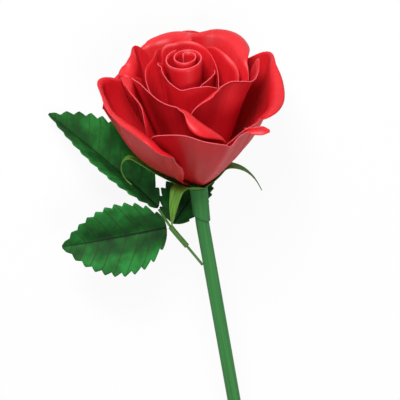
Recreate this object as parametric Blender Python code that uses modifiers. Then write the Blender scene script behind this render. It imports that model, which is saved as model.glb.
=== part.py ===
# Paper rose: a rolled bud, three bud petals, rings of curled petals, a star-cut calyx, a neck
# cone, a rolled stem tube and one leaf of three toothed leaflets, lying on a table.
# Sizes are in millimetres and degrees. The bloom's base is at the origin of its own frame and
# its axis is +Z there. Azimuths run counter-clockwise seen from above: 0 is the bloom's right,
# 90 its back and 270 its front.

import math

import bmesh
import bpy
import numpy as np
from mathutils import Matrix, Vector

MM = 0.001
GAP = 0.3

PETAL_PAPER = 0.4
PETAL_COLUMNS = 11
CUP_ROWS = 6
CURL_ROWS = 3
# A rim curls outward in an arc that opens as the curled strip gets wider.
CURL_RADIUS = 2.2
CURL_OPENING = 0.28
CURL_LEAST = 0.8

STEM_RADIUS = 3.3
STEM_WALL = 0.8
STEM_BELOW = 210.0
STEM_ABOVE = 16.0
STEM_BEND_START = 18.0
STEM_BEND_LENGTH = 8.0
STEM_LEAN = 3.4
STEM_SIDES = 16

# Every petal foot is wrapped round the stem tube, a little wider and lower at its
# counter-clockwise end, so that each petal lies over the start of the next one.
FOOT_RADIUS = STEM_RADIUS + GAP + PETAL_PAPER / 2
FOOT_DROP = 0.8

BUD_PAPER = 0.5
BUD_START = 112.0
BUD_TURNS = 2.1
BUD_TOP = 68.0
BUD_TOP_SLOPE = 0.13
BUD_RADIUS = 9.4
BUD_PITCH = 3.0
BUD_TIGHTENING = 1.1
# The inner turns stand a little to the back and right of the outer one at the top.
BUD_DRIFT_RIGHT = 0.8
BUD_DRIFT_BACK = 1.4
BUD_FOOT_SHARE = 0.36
BUD_STEPS_PER_TURN = 14

CALYX_PAPER = 0.45
STAR_LEVEL = -0.9
STAR_RADIUS = 5.6
NECK_PAPER = 0.5
NECK_LENGTH = 17.5
NECK_SLANT = 2.2
NECK_TOP_RADIUS = 4.3
SEPAL_HALF_WIDTH = 4.6
SEPAL_COLUMNS = 4
SEPAL_ROWS = 7
SEPAL_DISH = 0.9

WIRE_RADIUS = 0.65
SLEEVE_WALL = 0.35
WIRE_SIDES = 8

LEAF_PAPER = 0.4
LEAF_COLUMNS_PER_SIDE = 3
LEAF_FOOT_HALF_WIDTH = 0.9
TOOTH_DEPTH = 2.6
TOOTH_PEAK = 0.82
VEIN_SWEEP = 0.1

RED = (0.60, 0.010, 0.022, 1.0)
STEM_GREEN = (0.065, 0.270, 0.065, 1.0)
LEAF_GREEN = (0.014, 0.110, 0.030, 1.0)
SEPAL_GREEN = (0.110, 0.250, 0.020, 1.0)
WIRE_GREEN = (0.160, 0.300, 0.060, 1.0)

# The rings of petals are glued on above one another. A ring has the level of its feet and how
# much wider a foot is at its far end, which can stop short of the rim's end by some degrees.
OUTER_FOOT = dict(level=0.9, spread=1.3, short=0.0)
LEFT_FOOT = dict(OUTER_FOOT, short=27.0)
MIDDLE_FOOT = dict(level=4.9, spread=1.3, short=0.0)
INNER_FOOT = dict(level=8.9, spread=1.3, short=0.0)
WRAP_FOOT = dict(level=12.4, spread=1.3, short=0.0)
BUD_FOOT = dict(level=14.2, spread=0.2, short=0.0)

# A petal's cup is a cubic curve from foot to rim. Its two inner control points are shares of
# the way out and of the way up.
FULL_CUP = dict(out_low=0.60, up_low=0.13, out_high=0.96, up_high=0.50)
OUTER_CUP = dict(out_low=0.41, up_low=0.20, out_high=0.80, up_high=0.54)
BOWL_CUP = dict(out_low=0.76, up_low=0.11, out_high=1.01, up_high=0.44)
STRAIGHT_CUP = dict(out_low=0.37, up_low=0.25, out_high=0.74, up_high=0.60)
MIDDLE_CUP = dict(out_low=0.42, up_low=0.12, out_high=0.60, up_high=0.72)
HALF_ROUND_CUP = dict(out_low=0.50, up_low=0.11, out_high=0.78, up_high=0.66)
ROUND_CUP = dict(out_low=0.58, up_low=0.10, out_high=0.92, up_high=0.62)
INNER_CUP = dict(out_low=0.46, up_low=0.10, out_high=0.64, up_high=0.66)
WRAP_CUP = dict(out_low=0.60, up_low=0.12, out_high=0.74, up_high=0.66)
SLIM_CUP = dict(out_low=0.30, up_low=0.14, out_high=0.60, up_high=0.68)
BUD_CUP = dict(out_low=0.80, up_low=0.12, out_high=1.10, up_high=0.62)

# A petal has its ring's foot, its cups from the clockwise to the other side, and rim
# stations: azimuth, radius, height and the width of the strip curled outward.
PETALS = {
    "outer_petal_left": (LEFT_FOOT, [OUTER_CUP, FULL_CUP, BOWL_CUP, OUTER_CUP], [
        (146, 39, 49, 2), (155, 42.5, 53, 3), (161, 45, 54, 4), (169, 43, 52, 4),
        (177, 41.5, 50.5, 5), (192, 40, 49, 6), (205, 37.5, 47.5, 8), (221, 36.5, 46, 8),
        (237, 37.8, 44.5, 7), (246, 37.8, 40, 5), (252, 33.8, 34, 3), (255, 29.4, 27, 1.5),
        (255, 24, 19.5, 0.8)]),
    "outer_petal_front": (OUTER_FOOT, [STRAIGHT_CUP, STRAIGHT_CUP], [
        (228, 30.5, 37, 0), (236, 32.5, 43, 1), (251, 34, 45.8, 1.5), (265, 36.5, 46.6, 1.5),
        (278, 41, 44.6, 1.5), (289, 41.6, 41.5, 2), (295, 40.5, 38.7, 2), (304, 38.2, 40.6, 1.5),
        (313, 37.2, 40, 1), (318, 36, 38, 0.8)]),
    "outer_petal_right": (OUTER_FOOT, [STRAIGHT_CUP, OUTER_CUP, OUTER_CUP], [
        (308, 23, 28, 0), (315, 27.5, 33, 0.8), (321, 31.5, 37, 3), (328, 35, 39, 8),
        (338, 36.5, 39.5, 9), (349, 41, 41.5, 9), (3, 43, 44, 10), (20, 46.5, 49, 6),
        (33, 50, 52.8, 2), (46, 45, 48, 1), (56, 43, 43, 0)]),
    "outer_petal_back": (OUTER_FOOT, [OUTER_CUP, OUTER_CUP], [
        (38, 37, 42, 0), (52, 40.5, 48, 1), (66, 43.5, 55.5, 3), (78, 45, 58.5, 4),
        (88, 45.5, 60, 3), (98, 45, 57.5, 2), (110, 44, 50, 1), (121, 43.5, 43, 0)]),
    "outer_petal_far_left": (OUTER_FOOT, [OUTER_CUP, OUTER_CUP], [
        (98, 33, 42, 0), (110, 37.5, 46, 1), (122, 43, 49.5, 3), (136, 44, 49, 3),
        (150, 44.5, 45.5, 2), (161, 44.5, 39, 0)]),
    "middle_petal_left": (MIDDLE_FOOT, [HALF_ROUND_CUP, ROUND_CUP], [
        (122, 26, 56, 0), (134, 33.5, 66, 1), (149, 30.8, 63, 9), (163, 30.2, 60, 11),
        (175, 29.6, 58, 7), (198, 27.8, 56, 3), (212, 27.4, 53, 2), (220, 28.6, 46, 2),
        (223, 29, 38, 1)]),
    "middle_petal_front": (MIDDLE_FOOT, [HALF_ROUND_CUP, MIDDLE_CUP], [
        (160, 21, 50, 0), (169, 22.4, 57.5, 1), (180, 26, 61.2, 1), (194, 22.6, 60, 1.5),
        (218, 22.4, 59, 2), (243, 25.6, 57.5, 2.5), (256, 26, 55.5, 4), (268, 27.4, 53.2, 8),
        (281, 31.5, 48, 12), (293, 33, 41.5, 6), (298, 32.6, 37, 2)]),
    "middle_petal_right": (MIDDLE_FOOT, [MIDDLE_CUP, MIDDLE_CUP], [
        (264, 19, 44, 0), (276, 19.6, 51, 2), (290, 19.6, 53.5, 4), (308, 19.6, 55.3, 5),
        (322, 21.2, 57, 4), (334, 23.8, 58.8, 2), (342, 28, 57.5, 1.5), (352, 31.8, 55, 1),
        (5, 34.8, 55.4, 1.5), (15, 36.8, 56.6, 2), (22, 38.4, 56.6, 2), (28, 36.5, 50, 0)]),
    "middle_petal_back_right": (MIDDLE_FOOT, [MIDDLE_CUP, MIDDLE_CUP], [
        (4, 29.5, 52, 0), (18, 31, 59, 3), (33, 33, 62, 9), (47, 35, 65, 12),
        (58, 34.5, 66, 9), (70, 33, 65.5, 5), (81, 34.5, 63.5, 3), (89, 36.5, 61.5, 1.5),
        (94, 36.5, 57, 0)]),
    "middle_petal_back_left": (MIDDLE_FOOT, [MIDDLE_CUP, HALF_ROUND_CUP], [
        (76, 21.5, 58, 0), (85, 24.5, 65.5, 4), (92, 29, 66, 9), (101, 33, 65.5, 11),
        (112, 34.5, 64.5, 8), (124, 35, 63, 3), (134, 35.5, 57, 1), (140, 34.5, 50, 0)]),
    "inner_petal_left": (INNER_FOOT, [INNER_CUP, INNER_CUP], [
        (110, 19, 63, 0), (122, 22, 65.5, 1), (137, 20, 63.8, 1.5), (154, 20.4, 61.8, 1.5),
        (166, 20, 60, 1.5), (179, 19.4, 58, 1.5), (193, 18.6, 55, 1), (206, 17.4, 48, 0)]),
    "inner_petal_right": (INNER_FOOT, [INNER_CUP, INNER_CUP], [
        (346, 21.5, 46, 0), (354, 24, 52.5, 1.5), (4, 25, 57, 2.5), (14, 24.4, 60, 3),
        (24, 22.8, 62.6, 3), (35, 21.4, 64.6, 2), (47, 20.6, 65.6, 1.5), (62, 19.8, 63, 0)]),
    "bud_petal_back": (WRAP_FOOT, [WRAP_CUP, SLIM_CUP], [
        (-24, 16, 54, 0.5), (-8, 15.4, 57.5, 1), (8, 15.2, 60, 1), (24, 15.2, 63, 1),
        (42, 15.4, 66, 1.5), (60, 16, 68, 2), (83, 16.4, 69.6, 2.5), (104, 16, 69.6, 2.5),
        (122, 17, 68.5, 2), (134, 15.2, 61, 0)]),
    "bud_petal_front": (WRAP_FOOT, [BUD_CUP, INNER_CUP], [
        (143, 11.4, 58, 0), (153, 12, 63, 1), (163, 13.8, 65.6, 3), (174, 11.8, 64.5, 3),
        (197, 10.6, 61.8, 1.5), (228, 10.3, 58.8, 1), (251, 10.3, 57, 1), (283, 10.6, 57.8, 1),
        (311, 13, 57.6, 1), (327, 15.8, 55.6, 1), (338, 18.8, 52.5, 1)]),
    "bud_petal_right": (BUD_FOOT, [WRAP_CUP, SLIM_CUP], [
        (290, 9.2, 53, 0), (311, 10.6, 57.5, 0.5), (325, 11.6, 58.8, 1), (338, 13, 59.8, 1),
        (349, 13.9, 60.5, 1), (358, 13.7, 60.8, 0.6), (5, 12.6, 60, 0)]),
}

# A sepal is its azimuth and a centre line of radius and height from the neck to its tip.
SEPALS = [
    (174, [(12, 0.8), (20, 4.4), (28, 11.4), (34.3, 14.8), (37, 9.5), (35.8, 4), (31.6, 0.2)]),
    (234, [(10, -0.1), (14, 1.2), (18, 2), (21, 0.8), (23, -1.6), (24.7, -4.6), (26.1, -8)]),
    (8, [(10.5, 1.8), (15, 4.2), (19.4, 5), (24, 1.6), (27.6, -3.1), (29.2, -7.1), (30.3, -10.4)]),
    (60, [(11, 2), (16, 5.4), (21, 9.6), (26, 13), (30, 14.6)]),
    (115, [(11, 2), (16, 5.4), (21, 9.6), (26, 13), (30, 14.6)]),
]

# The leaf's wire runs from the stem through the fork, where the side leaflets start, to the
# foot of the end leaflet.
LEAF_ON_STEM = (-2.1, 1.7, -47.5)
SLEEVE_START = (-8.7, 6.0, -38.5)
LEAF_FORK = (-15.8, 12.0, -29.8)
END_LEAFLET_FOOT = (-20.6, 16.2, -21.6)

# A leaflet has its foot, tip, half width, number of teeth on a side, turn about its midrib,
# fold of each half and droop of its tip. A smaller broad brings its widest place nearer the foot.
LEAFLETS = {
    "leaflet_end": dict(foot=(-21.0, 16.6, -20.8), tip=(-66.3, 25.7, 34.5), half_width=17.6,
                        teeth=12, turn=47.0, fold=28.0, droop=4.0, broad=0.88),
    "leaflet_left": dict(foot=(-17.9, 11.4, -29.6), tip=(-68.7, -2.0, -27.5), half_width=21.6,
                         teeth=12, turn=-24.0, fold=28.0, droop=4.0, broad=0.64),
    "leaflet_right": dict(foot=(-14.2, 13.0, -29.0), tip=(9.0, 28.0, -15.0), half_width=18.0,
                          teeth=8, turn=-18.0, fold=14.0, droop=1.0, broad=0.8),
}
LEAVES_FACE = (0.0, -0.866, 0.5)


def clear_scene():
    for item in list(bpy.data.objects):
        bpy.data.objects.remove(item, do_unlink=True)


def paper_material(name, colour, roughness):
    material = bpy.data.materials.new(name)
    material.use_nodes = True
    shader = material.node_tree.nodes["Principled BSDF"]
    shader.inputs["Base Color"].default_value = colour
    shader.inputs["Roughness"].default_value = roughness
    shader.inputs["Metallic"].default_value = 0.0
    material.diffuse_color = colour
    return material


def polar(azimuth, radius, height):
    angle = math.radians(azimuth)
    return Vector((radius * math.cos(angle), radius * math.sin(angle), height))


def blend(low, high, share):
    return low + (high - low) * share


def smooth_step(value):
    value = min(max(value, 0.0), 1.0)
    return value * value * (3.0 - 2.0 * value)


def through_points(points, share):
    # A Catmull-Rom curve through the points, each an equal share of the way along.
    points = np.asarray(points, dtype=float)
    last = len(points) - 1
    place = min(max(share, 0.0), 1.0) * last
    index = min(int(place), last - 1)
    t = place - index
    before = points[index - 1] if index > 0 else 2 * points[0] - points[1]
    after = points[index + 2] if index + 2 <= last else 2 * points[last] - points[last - 1]
    start, end = points[index], points[index + 1]
    return 0.5 * (2 * start + (end - before) * t
                  + (2 * before - 5 * start + 4 * end - after) * t * t
                  + (3 * start - before - 3 * end + after) * t ** 3)


def cubic(points, t):
    s = 1.0 - t
    weights = (s ** 3, 3 * s * s * t, 3 * s * t * t, t ** 3)
    return sum(w * p for w, p in zip(weights, points))


def finish_mesh(name, mesh, paper, material, parent, collection):
    # Gives the sheet its paper thickness, half to each side.
    mesh.transform(Matrix.Scale(MM, 4))
    piece = bpy.data.objects.new(name, mesh)
    collection.objects.link(piece)
    mesh.materials.append(material)
    mesh.shade_smooth()
    piece.parent = parent
    thickness = piece.modifiers.new("paper_thickness", "SOLIDIFY")
    thickness.thickness = paper * MM
    thickness.offset = 0.0
    thickness.use_even_offset = True
    thickness.use_quality_normals = True
    return piece


def sheet(name, columns, rows, place, paper, material, parent, collection, closed=False):
    # A flat sheet of paper brought to its form: place() takes the shares across and up.
    surface = bmesh.new()
    bmesh.ops.create_grid(surface, x_segments=columns, y_segments=rows, size=0.5)
    for vertex in surface.verts:
        vertex.co = place(vertex.co.x + 0.5, vertex.co.y + 0.5)
    if closed:
        bmesh.ops.remove_doubles(surface, verts=surface.verts, dist=0.001)
    mesh = bpy.data.meshes.new(name)
    surface.to_mesh(mesh)
    surface.free()
    return finish_mesh(name, mesh, paper, material, parent, collection)


def unwound(rows):
    # The same rows, with azimuths that rise from the first to the last.
    rising = []
    for azimuth, *rest in rows:
        while rising and azimuth < rising[-1][0]:
            azimuth += 360
        rising.append((azimuth, *rest))
    return rising


def petal_place(ring_foot, cups, stations):
    rim = unwound(stations)
    cup_share = CUP_ROWS / (CUP_ROWS + CURL_ROWS)

    def curl_form(across):
        curl = max(float(through_points(rim, across)[3]), CURL_LEAST)
        radius = CURL_RADIUS + CURL_OPENING * curl
        return radius, curl / radius

    def cup_point(across, t):
        azimuth, radius, height, curl = through_points(rim, across)
        cup = {key: through_points([form[key] for form in cups], across) for key in cups[0]}
        foot = np.array((FOOT_RADIUS + ring_foot["spread"] * across,
                         ring_foot["level"] + FOOT_DROP * (1 - across)))
        low = np.array((cup["out_low"], cup["up_low"]))
        high = np.array((cup["out_high"], cup["up_high"]))
        reach = np.array((radius, height)) - foot
        # The station is the top of the curl, so the cup ends a little below and inside it.
        rise = math.atan2(*(reach * (1 - high))[::-1])
        curl_radius, bend = curl_form(across)
        turned = min(bend, rise)
        reach -= curl_radius * np.array((math.sin(rise) - math.sin(rise - turned),
                                         math.cos(rise - turned) - math.cos(rise)))
        out, level = foot + cubic((0 * reach, reach * low, reach * high, reach), t)
        foot_azimuth = blend(rim[0][0], rim[-1][0] - ring_foot["short"], across)
        return polar(blend(foot_azimuth, azimuth, smooth_step(t)), out, level)

    def place(across, up):
        if up <= cup_share:
            return cup_point(across, up / cup_share)
        # The curl leaves the cup square to the rim and turns over towards the outside.
        edge = cup_point(across, 1.0)
        along = cup_point(min(across + 0.02, 1.0), 1.0) - cup_point(max(across - 0.02, 0.0), 1.0)
        upward = edge - cup_point(across, 0.96)
        outward = along.cross(upward).normalized()
        away = outward.cross(along).normalized()
        radius, bend = curl_form(across)
        angle = bend * (up - cup_share) / (1 - cup_share)
        return edge + radius * (math.sin(angle) * away + (1 - math.cos(angle)) * outward)

    return place


def add_petals(material, parent, collection):
    for name, form in PETALS.items():
        sheet(name, PETAL_COLUMNS, CUP_ROWS + CURL_ROWS, petal_place(*form),
              PETAL_PAPER, material, parent, collection)


def add_bud_roll(material, parent, collection):
    foot_height = STEM_ABOVE + GAP

    def place(across, up):
        turned = BUD_TURNS * across
        width = blend(BUD_FOOT_SHARE, 1.0, up ** 0.8)
        radius = (BUD_RADIUS - BUD_PITCH * turned ** BUD_TIGHTENING) * width
        point = polar(BUD_START + 360 * turned, radius, 0.0)
        drift = turned * (width - BUD_FOOT_SHARE) / (1 - BUD_FOOT_SHARE)
        point += drift * Vector((BUD_DRIFT_RIGHT, BUD_DRIFT_BACK, 0.0))
        point.z = blend(foot_height, BUD_TOP + BUD_TOP_SLOPE * point.y, up)
        return point

    steps = round(BUD_TURNS * BUD_STEPS_PER_TURN)
    sheet("bud_roll", steps, 3, place, BUD_PAPER, material, parent, collection)


def stem_point(distance):
    # A point of the stem's centre line, at this distance below the bloom's base.
    lean = math.radians(STEM_LEAN)
    if distance <= STEM_BEND_START:
        return Vector((0.0, 0.0, -distance)), 0.0
    bent = min(distance - STEM_BEND_START, STEM_BEND_LENGTH)
    angle = lean * bent / STEM_BEND_LENGTH
    arc = STEM_BEND_LENGTH / lean
    point = Vector((arc * (1 - math.cos(angle)), 0.0, -STEM_BEND_START - arc * math.sin(angle)))
    straight = distance - STEM_BEND_START - bent
    return point + straight * Vector((math.sin(angle), 0.0, -math.cos(angle))), angle


def add_stem(material, parent, collection):
    middle = STEM_RADIUS - STEM_WALL / 2
    bend_end = STEM_BEND_START + STEM_BEND_LENGTH
    stations = [-STEM_ABOVE, STEM_BEND_START, (STEM_BEND_START + bend_end) / 2, bend_end,
                (bend_end + STEM_BELOW) / 2, STEM_BELOW]

    def place(across, up):
        centre, angle = stem_point(stations[round((1 - up) * (len(stations) - 1))])
        turn = math.tau * across
        side = Vector((math.cos(angle), 0.0, math.sin(angle)))
        return centre + middle * (math.cos(turn) * side + math.sin(turn) * Vector((0, 1, 0)))

    return sheet("stem_tube", STEM_SIDES, len(stations) - 1, place, STEM_WALL, material,
                 parent, collection, closed=True)


def add_neck(material, parent, collection):
    # A paper sleeve that widens a little from the stem to the underside of the star. Its lower
    # edge is cut at a slant and is lowest at the right.
    top = STAR_LEVEL - CALYX_PAPER / 2 - GAP
    foot_radius = STEM_RADIUS + GAP + NECK_PAPER / 2

    def place(across, up):
        radius = blend(foot_radius, NECK_TOP_RADIUS, up ** 1.5)
        length = NECK_LENGTH + NECK_SLANT * math.cos(math.tau * across)
        return polar(360 * across, radius, top - length * (1 - up))

    return sheet("neck_cone", STEM_SIDES, 3, place, NECK_PAPER, material, parent, collection,
                 closed=True)


def add_calyx(material, parent, collection):
    # One star-cut sheet: a ring round the stem, with five points cut from its outer edge. The
    # points share the ring evenly, and each leans over to its own azimuth as it leaves it.
    columns = len(SEPALS) * SEPAL_COLUMNS
    sepals = unwound(SEPALS)
    pitch = 360 / len(sepals)
    first = sum(azimuth for azimuth, line in sepals) / len(sepals) - pitch * (len(sepals) - 1) / 2
    surface = bmesh.new()
    rings = []
    for radius in (STEM_RADIUS + GAP, STAR_RADIUS):
        rings.append([surface.verts.new(polar(first - pitch / 2 + 360 * i / columns, radius,
                                              STAR_LEVEL)) for i in range(columns)])
    hole, edge = rings
    for i in range(columns):
        j = (i + 1) % columns
        surface.faces.new((hole[i], edge[i], edge[j], hole[j]))
    for index, (azimuth, line) in enumerate(sepals):
        root = [edge[(index * SEPAL_COLUMNS + i) % columns] for i in range(SEPAL_COLUMNS + 1)]
        add_sepal(surface, root, first + pitch * index, azimuth, line)
    mesh = bpy.data.meshes.new("calyx")
    surface.to_mesh(mesh)
    surface.free()
    return finish_mesh("calyx", mesh, CALYX_PAPER, material, parent, collection)


def add_sepal(surface, root, root_azimuth, azimuth, line):
    line = [(STAR_RADIUS, STAR_LEVEL)] + line
    half_pitch = 180 / len(SEPALS)
    below = root
    for row in range(1, SEPAL_ROWS + 1):
        share = row / SEPAL_ROWS
        radius, height = through_points(line, share)
        centre_azimuth = blend(root_azimuth, azimuth, smooth_step(share / 0.35))
        flat = smooth_step(share / 0.3)
        half_width = SEPAL_HALF_WIDTH * (1 - share ** 2.2)
        middle = polar(centre_azimuth, radius, height)
        side = polar(centre_azimuth + 90, 1, 0)
        if row == SEPAL_ROWS:
            tip = surface.verts.new(middle)
            for i in range(SEPAL_COLUMNS):
                surface.faces.new((below[i], tip, below[i + 1]))
            break
        above = []
        for i in range(SEPAL_COLUMNS + 1):
            s = 2 * i / SEPAL_COLUMNS - 1
            round_place = polar(centre_azimuth + s * half_pitch, radius, height)
            dish = Vector((0, 0, SEPAL_DISH * s * s))
            above.append(surface.verts.new(round_place.lerp(middle + s * half_width * side + dish, flat)))
        for i in range(SEPAL_COLUMNS):
            surface.faces.new((below[i], above[i], above[i + 1], below[i + 1]))
        below = above


def add_leaf_wire(material, parent, collection):
    points = [LEAF_ON_STEM, SLEEVE_START, LEAF_FORK, END_LEAFLET_FOOT]
    steps = 9
    path = bpy.data.curves.new("leaf_wire", "CURVE")
    path.dimensions = "3D"
    path.bevel_depth = WIRE_RADIUS * MM
    path.bevel_resolution = 2
    path.use_fill_caps = True
    line = path.splines.new("POLY")
    line.points.add(steps)
    for i, point in enumerate(line.points):
        point.co = (*(through_points(points, i / steps) * MM), 1.0)
    wire = bpy.data.objects.new("leaf_wire", path)
    path.materials.append(material)
    collection.objects.link(wire)
    wire.parent = parent
    return wire


def add_wire_sleeve(material, parent, collection):
    # The wrapped stretch of the wire, from a little way out of the stem to the fork.
    points = [LEAF_ON_STEM, SLEEVE_START, LEAF_FORK, END_LEAFLET_FOOT]
    first, last = 1 / 3, 2 / 3
    middle = WIRE_RADIUS + GAP + SLEEVE_WALL / 2

    def place(across, up):
        share = blend(first, last, up)
        centre = Vector(through_points(points, share))
        along = Vector(through_points(points, share + 0.01) - through_points(points, share - 0.01))
        side = along.cross(Vector((0, 1, 0))).normalized()
        other = side.cross(along).normalized()
        turn = math.tau * across
        return centre + middle * (math.cos(turn) * side + math.sin(turn) * other)

    return sheet("leaf_wire_sleeve", WIRE_SIDES, 4, place, SLEEVE_WALL, material, parent,
                 collection, closed=True)


def leaflet_frame(foot, tip, turn):
    # Along the midrib, to the leaflet's side and out of its upper face.
    along = (tip - foot).normalized()
    facing = Vector(LEAVES_FACE)
    normal = (facing - facing.dot(along) * along).normalized()
    normal = Matrix.Rotation(math.radians(turn), 3, along) @ normal
    return along, along.cross(normal).normalized(), normal


def leaflet_outline(share, broad):
    # Half width over the largest half width: an egg shape, widest before the middle.
    return math.sin(math.pi * share ** broad) ** 0.8


def leaflet_place(foot, tip, half_width, teeth, turn, fold, droop, broad):
    foot, tip = Vector(foot), Vector(tip)
    length = (tip - foot).length
    along, side, normal = leaflet_frame(foot, tip, turn)
    fold_angle = math.radians(fold)

    def place(across, up):
        # Rows stand at the notches and the tooth peaks in turn, and the last one at the tip.
        row = round(up * 2 * teeth)
        tooth, peak = divmod(row, 2)
        share = (tooth + TOOTH_PEAK * peak) / teeth
        width = max(half_width * leaflet_outline(min(share, 1.0), broad), LEAF_FOOT_HALF_WIDTH)
        if not peak and 0 < tooth < teeth:
            width -= min(TOOTH_DEPTH, 0.5 * width)
        if tooth == teeth:
            width = LEAF_FOOT_HALF_WIDTH / 3
        s = 2 * across - 1
        reach = length * share
        reach += VEIN_SWEEP * length * abs(s) ** 1.4 * math.sin(math.pi * share) * 0.6
        lift = abs(s) * width * math.sin(fold_angle)
        sag = droop * share ** 2 + 0.12 * width * s * s
        return (foot + along * reach + side * (s * width * math.cos(fold_angle))
                + normal * (lift - sag))

    return place


def add_leaflets(material, parent, collection):
    for name, form in LEAFLETS.items():
        sheet(name, 2 * LEAF_COLUMNS_PER_SIDE, 2 * form["teeth"], leaflet_place(**form),
              LEAF_PAPER, material, parent, collection)


def solid_points(pieces):
    # All corner points of the finished pieces, and the centre of their volume.
    bpy.context.view_layer.update()
    graph = bpy.context.evaluated_depsgraph_get()
    corners = []
    volume = 0.0
    moment = np.zeros(3)
    for piece in pieces:
        finished = piece.evaluated_get(graph)
        mesh = finished.to_mesh()
        mesh.transform(piece.matrix_world)
        mesh.calc_loop_triangles()
        points = np.array([vertex.co[:] for vertex in mesh.vertices])
        triangles = np.array([triangle.vertices[:] for triangle in mesh.loop_triangles])
        a, b, c = (points[triangles[:, i]] for i in range(3))
        wedges = np.einsum("ij,ij->i", a, np.cross(b, c)) / 6
        volume += wedges.sum()
        moment += (wedges[:, None] * (a + b + c) / 4).sum(axis=0)
        corners.append(points)
        finished.to_mesh_clear()
    return np.concatenate(corners), moment / volume


def resting_normal(corners, centre):
    # The flower lies on the face of its convex hull that is under its centre of weight. Of the
    # faces that would hold it, it takes the one that faces the back the most.
    hull = bmesh.new()
    for corner in corners:
        hull.verts.new(corner)
    bmesh.ops.convex_hull(hull, input=hull.verts)
    best = None
    for face in hull.faces:
        normal = face.normal
        below = Vector(centre) + normal * (face.verts[0].co - Vector(centre)).dot(normal)
        if normal.y > 0 and bmesh.geometry.intersect_face_point(face, below):
            if best is None or normal.y > best.y:
                best = normal.copy()
    hull.free()
    return best


def lay_down(root, pieces):
    corners, centre = solid_points(pieces)
    down = resting_normal(corners, centre)
    turned = down.rotation_difference(Vector((0, 0, -1))).to_matrix()
    stem_way = turned @ Vector((0, 0, -1))
    heading = Matrix.Rotation(math.radians(-90) - math.atan2(stem_way.y, stem_way.x), 3, "Z")
    placed = corners @ np.array(heading @ turned).T
    low, high = placed.min(axis=0), placed.max(axis=0)
    stand = Matrix.Translation((-(low[0] + high[0]) / 2, -(low[1] + high[1]) / 2, -low[2]))
    root.matrix_world = stand @ (heading @ turned).to_4x4()


def main():
    clear_scene()
    parts = bpy.data.collections.new("paper_rose")
    bpy.context.scene.collection.children.link(parts)
    root = bpy.data.objects.new("rose_frame", None)
    parts.objects.link(root)
    petal_red = paper_material("petal_paper", RED, 0.62)
    stem_green = paper_material("stem_paper", STEM_GREEN, 0.60)
    leaf_green = paper_material("leaf_paper", LEAF_GREEN, 0.58)
    sepal_green = paper_material("calyx_paper", SEPAL_GREEN, 0.62)
    wire_green = paper_material("wire_wrap_paper", WIRE_GREEN, 0.60)
    add_bud_roll(petal_red, root, parts)
    add_petals(petal_red, root, parts)
    add_calyx(sepal_green, root, parts)
    add_neck(stem_green, root, parts)
    add_stem(stem_green, root, parts)
    add_leaf_wire(wire_green, root, parts)
    add_wire_sleeve(wire_green, root, parts)
    add_leaflets(leaf_green, root, parts)
    pieces = [item for item in parts.objects if item.type in {"MESH", "CURVE"}]
    lay_down(root, pieces)


main()
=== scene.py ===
# Paper rose: every sheet of the CAD frame is shown as the curled, cut or rolled paper it stands
# for, in the same place, lying on a white table and seen from the photograph's side.
import math

import bmesh
import bpy
import numpy as np
from mathutils import Matrix, Vector, noise


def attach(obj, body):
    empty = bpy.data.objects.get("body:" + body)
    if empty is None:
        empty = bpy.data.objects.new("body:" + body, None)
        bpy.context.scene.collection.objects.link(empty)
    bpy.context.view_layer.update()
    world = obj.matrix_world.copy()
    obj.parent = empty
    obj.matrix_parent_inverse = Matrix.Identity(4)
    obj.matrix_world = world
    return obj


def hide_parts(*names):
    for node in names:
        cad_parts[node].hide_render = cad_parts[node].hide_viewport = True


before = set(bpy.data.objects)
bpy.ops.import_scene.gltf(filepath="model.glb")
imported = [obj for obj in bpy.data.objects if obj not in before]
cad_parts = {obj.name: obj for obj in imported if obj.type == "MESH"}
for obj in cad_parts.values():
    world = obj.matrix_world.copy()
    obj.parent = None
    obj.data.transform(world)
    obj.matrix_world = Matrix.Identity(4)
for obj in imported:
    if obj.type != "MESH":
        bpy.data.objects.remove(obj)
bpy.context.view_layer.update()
print("frame loaded")

# sizes are in millimetres and degrees, in the bloom's own frame: base at the origin, axis +Z,
# azimuth 0 to the right, 90 to the back, 270 to the front. A gap stays between stacked sheets, and
# the seam of a tube is welded where its points are this close
millimetre = 0.001
gap = 0.3
weld = 0.0001
stem = dict(radius=3.3, wall=0.8, above=16.0, below=210.0, bendStart=18.0, bendLength=8.0,
            lean=3.4, sides=64, rows=90, stripWidth=20.7)
# points this near an end of the stem are averaged, first roughly and then closely
endReach = dict(rough=3, close=1)


def bloomPlacement():
    # the stem's straight top end gives the bloom's axis, and its lean the bloom's right
    points = np.array([v.co[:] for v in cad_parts["stem_tube"].data.vertices])
    points /= millimetre
    reach, close = endReach["rough"], endReach["close"]
    rough = points[points[:, 1] > points[:, 1].max() - reach].mean(0)
    rough = rough - points[points[:, 1] < points[:, 1].min() + reach].mean(0)
    along = points @ (rough / np.linalg.norm(rough))
    top = points[along > along.max() - close].mean(0)
    straight = stem["above"] + stem["bendStart"]
    bend = points[np.abs(along - along.max() + straight) < close].mean(0)
    end = points[along < along.min() + close].mean(0)
    axis = Vector(top - bend).normalized()
    origin = Vector(top) - stem["above"] * axis
    right = Vector(end) - origin
    right = (right - right.dot(axis) * axis).normalized()
    back = axis.cross(right)
    turned = Matrix((right, back, axis)).transposed().to_4x4()
    return Matrix.Translation(origin * millimetre) @ turned


bloom = bloomPlacement()
print("bloom frame", [[round(x, 4) for x in row] for row in bloom])


def polar(azimuth, radius, height):
    angle = math.radians(azimuth)
    return Vector((radius * math.cos(angle), radius * math.sin(angle), height))


def blend(low, high, share):
    return low + (high - low) * share


def smoothStep(value):
    value = min(max(value, 0.0), 1.0)
    return value * value * (3.0 - 2.0 * value)


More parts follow.
